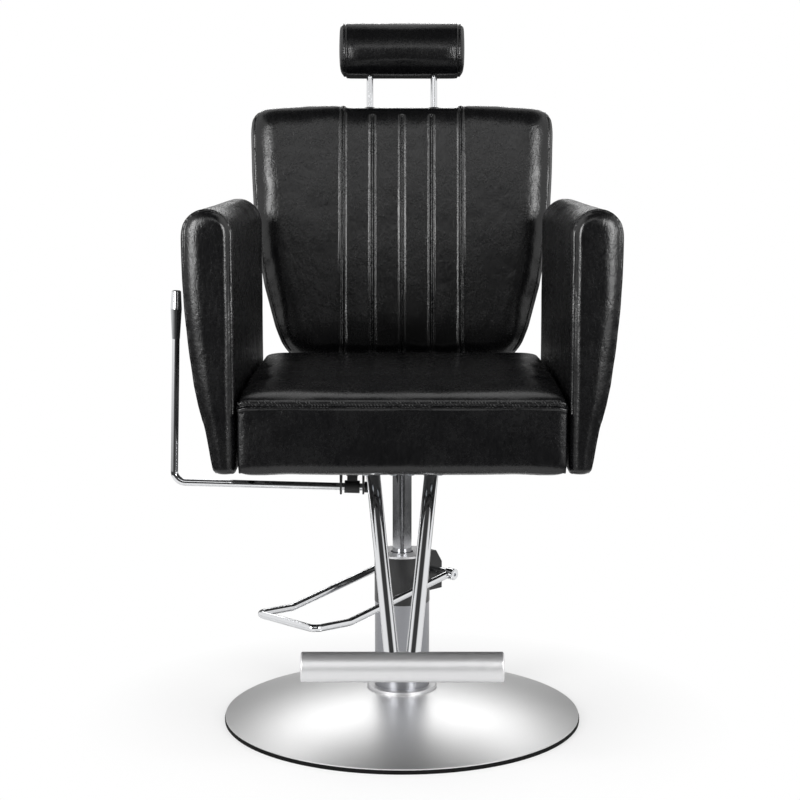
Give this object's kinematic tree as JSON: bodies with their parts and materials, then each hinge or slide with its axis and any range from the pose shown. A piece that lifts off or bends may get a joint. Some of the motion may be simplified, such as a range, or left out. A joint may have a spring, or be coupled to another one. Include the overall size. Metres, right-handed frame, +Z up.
{
  "type": "hydraulic barber chair",
  "caption": "Upholstered barber chair on a round base and hydraulic column, with reclining back, sliding headrest, footrest bar, pump pedal and recline lever.",
  "frame": {"origin": "centre of the base's floor face, on the column's axis", "axes": "+Z up along the column; the chair faces -Y, and +X is the sitter's left"},
  "size_m": [0.7176, 0.905, 1.1873],
  "materials": {
    "rubber_black": "matte",
    "satin_steel": "satin",
    "machined_steel": "satin",
    "zinc_steel": "satin",
    "chrome": "polished",
    "black_cast": "satin",
    "black_painted_steel": "satin",
    "bronze": "satin",
    "plywood": "matte",
    "upholstery_foam": "matte",
    "black_leather": "satin",
    "black_plastic": "matte"
  },
  "bodies": {
    "base": {"floor_mat": "rubber_black", "base_plate": "machined_steel", "base_dome": "satin_steel", "neck_ring": "chrome", "pump_flange": "black_painted_steel", "flange_bolts": "zinc_steel", "pump_cylinder": "satin_steel", "cylinder_foot": "machined_steel", "inner_cylinder": "machined_steel", "pump_head": "black_cast", "top_ring": "machined_steel", "ram_bush": "bronze", "wiper_seal": "rubber_black", "pedal_return_spring": "machined_steel"},
    "pedal": {"pump_pedal": "chrome", "pedal_shaft": "chrome", "pedal_cam": "machined_steel"},
    "plunger": {"pump_plunger": "machined_steel"},
    "lift": {"ram": "chrome", "ram_piston": "machined_steel", "thrust_washer": "machined_steel"},
    "seat": {"ram_head": "black_painted_steel", "mounting_plate": "black_painted_steel", "plate_bolts": "zinc_steel", "seat_board": "plywood", "seat_frame": "plywood", "seat_foam": "upholstery_foam", "seat_cover": "black_leather", "arm_cover_left": "black_leather", "arm_cover_right": "black_leather", "arm_core_left": "upholstery_foam", "arm_core_right": "upholstery_foam", "arm_bolts": "zinc_steel", "hinge_bracket_left": "black_painted_steel", "hinge_bracket_right": "black_painted_steel", "hinge_pins": "zinc_steel", "lever_bracket": "black_painted_steel", "strut_pivot_pins": "machined_steel", "footrest_bracket": "black_painted_steel", "footrest_rod_left": "chrome", "footrest_rod_right": "chrome", "footrest_bar": "satin_steel", "bar_end_caps": "satin_steel"},
    "lever": {"recline_lever": "chrome", "lever_grip": "chrome", "release_cam": "black_painted_steel", "lever_collar": "black_painted_steel"},
    "strut_rod": {"strut_rod": "chrome"},
    "release": {"release_pin": "machined_steel"},
    "strut_cylinder": {"strut_cylinder": "black_painted_steel"},
    "back": {"back_frame": "black_painted_steel", "crank_pin": "machined_steel", "back_board": "plywood", "back_foam": "upholstery_foam", "back_cover": "black_leather", "post_guides": "black_plastic"},
    "headrest": {"headrest_posts": "chrome", "headrest_core": "plywood", "headrest_foam": "upholstery_foam", "headrest_cover": "black_leather"}
  },
  "joints": [
    {"name": "pedal_press", "type": "hinge", "parent": "base", "child": "pedal", "pos_m": [0.03182, 0.03182, 0.252], "axis": [0.7071, -0.7071, 0], "range_deg": [0, 20], "stiffness_Nm_per_rad": 6, "springref_deg": -34.38},
    {"name": "plunger_lift", "type": "slide", "parent": "base", "child": "plunger", "axis": [0, 0, 1], "range_m": [0, 0.0045]},
    {"name": "seat_lift", "type": "slide", "parent": "base", "child": "lift", "axis": [0, 0, 1], "range_m": [-0.105, 0.025]},
    {"name": "seat_swivel", "type": "hinge", "parent": "lift", "child": "seat", "pos_m": [0, 0, 0.45], "axis": [0, 0, 1], "continuous": true},
    {"name": "lever_pull", "type": "hinge", "parent": "seat", "child": "lever", "pos_m": [-0.0825, -0.05, 0.4065], "axis": [-0.9996, 0, 0.0279], "range_deg": [0, 12], "stiffness_Nm_per_rad": 2, "springref_deg": -17.19},
    {"name": "strut_tilt", "type": "hinge", "parent": "seat", "child": "strut_rod", "pos_m": [-0.0825, -0.025, 0.433], "axis": [1, 0, 0], "range_deg": [0, 2.2]},
    {"name": "release_push", "type": "slide", "parent": "strut_rod", "child": "release", "axis": [0, 0.9994, 0.0336], "range_m": [0, 0.006]},
    {"name": "strut_stroke", "type": "slide", "parent": "strut_rod", "child": "strut_cylinder", "axis": [0, -0.9994, -0.0336], "range_m": [0, 0.029]},
    {"name": "back_recline", "type": "hinge", "parent": "seat", "child": "back", "pos_m": [0, 0.335, 0.49], "axis": [-1, 0, 0], "range_deg": [0, 40]},
    {"name": "headrest_slide", "type": "slide", "parent": "back", "child": "headrest", "axis": [0, 0.1908, 0.9816], "range_m": [-0.04, 0.05]}
  ],
  "couplings": [
    {"joint": "plunger_lift", "follows": "pedal_press", "m_per_rad": 0.012},
    {"joint": "release_push", "follows": "lever_pull", "m_per_rad": 0.0265},
    {"joint": "strut_tilt", "follows": "back_recline", "ratio": 0.0506},
    {"joint": "strut_stroke", "follows": "back_recline", "m_per_rad": 0.04057}
  ]
}
